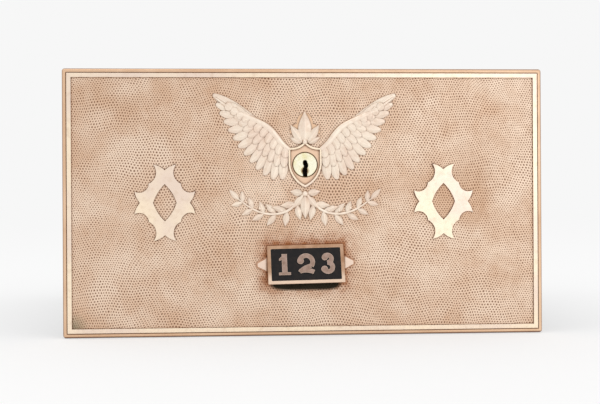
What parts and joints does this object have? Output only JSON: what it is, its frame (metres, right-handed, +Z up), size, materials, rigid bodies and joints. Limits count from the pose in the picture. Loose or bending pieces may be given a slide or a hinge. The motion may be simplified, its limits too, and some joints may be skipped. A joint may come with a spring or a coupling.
{
  "type": "post-office lock drawer",
  "caption": "Wall mounted lock drawer for mail: cast bronze front with a slanting numbered pull and a key lock, on a steel tray that slides in a flanged wall sleeve.",
  "frame": {"origin": "on the wall's face, at the centre of the mounting flange's back, with the drawer shut", "axes": "+Z up, +Y into the wall, +X to the right as seen from the front; the front faces -Y"},
  "size_m": [0.273, 0.3197, 0.1516],
  "materials": {
    "cast_bronze": "worn cast bronze, polished on the high places, brown in the low ones",
    "number_plate": "black enamel with polished copper-bronze numerals",
    "plug_brass": "bright worn brass",
    "lock_brass": "machined and tarnished brass",
    "japanned_steel": "black japanned sheet steel, worn at the edges",
    "tinned_steel": "dull tinned sheet steel",
    "screw_steel": "oil-blackened steel",
    "bolt_steel": "ground steel"
  },
  "bodies": {
    "housing": {"sleeve_shell": "japanned_steel", "mounting_flange": "japanned_steel", "runner_right": "japanned_steel", "runner_left": "japanned_steel", "runner_rivets": "screw_steel", "keeper": "japanned_steel", "keeper_rivets": "screw_steel", "drawer_stop_right": "japanned_steel", "drawer_stop_left": "japanned_steel", "stop_rivets": "screw_steel"},
    "drawer": {"front_casting": "cast_bronze", "pull_hood": "cast_bronze", "number_plate": "number_plate", "pull_screws": "screw_steel", "tray_shell": "tinned_steel", "tray_back": "tinned_steel", "tray_rivets": "screw_steel", "tray_screws": "screw_steel", "stop_clip_right": "tinned_steel", "stop_clip_left": "tinned_steel", "clip_rivets": "screw_steel", "lock_case": "lock_brass", "lock_cover": "lock_brass", "bolt_guide_post": "bolt_steel", "lock_screws": "screw_steel", "cylinder_body": "lock_brass", "cylinder_screws": "screw_steel", "spring_cover": "lock_brass", "driver_pins": "lock_brass", "pin_springs": "bolt_steel"},
    "lock_plug": {"plug": "plug_brass", "key_pins": "lock_brass", "cam": "lock_brass", "cam_screws": "screw_steel"},
    "lock_bolt": {"bolt": "bolt_steel"}
  },
  "joints": [
    {"name": "drawer_slide", "type": "slide", "parent": "housing", "child": "drawer", "axis": [0, -1, 0], "range_m": [0, 0.219]},
    {"name": "plug_turn", "type": "hinge", "parent": "drawer", "child": "lock_plug", "pos_m": [0, 0, 0.0212], "axis": [0, 1, 0], "range_deg": [0, 90]},
    {"name": "bolt_throw", "type": "slide", "parent": "drawer", "child": "lock_bolt", "axis": [0, 0, 1], "range_m": [0, 0.0075]}
  ],
  "couplings": [
    {"joint": "bolt_throw", "follows": "plug_turn", "m_per_rad": 0.0047746}
  ]
}
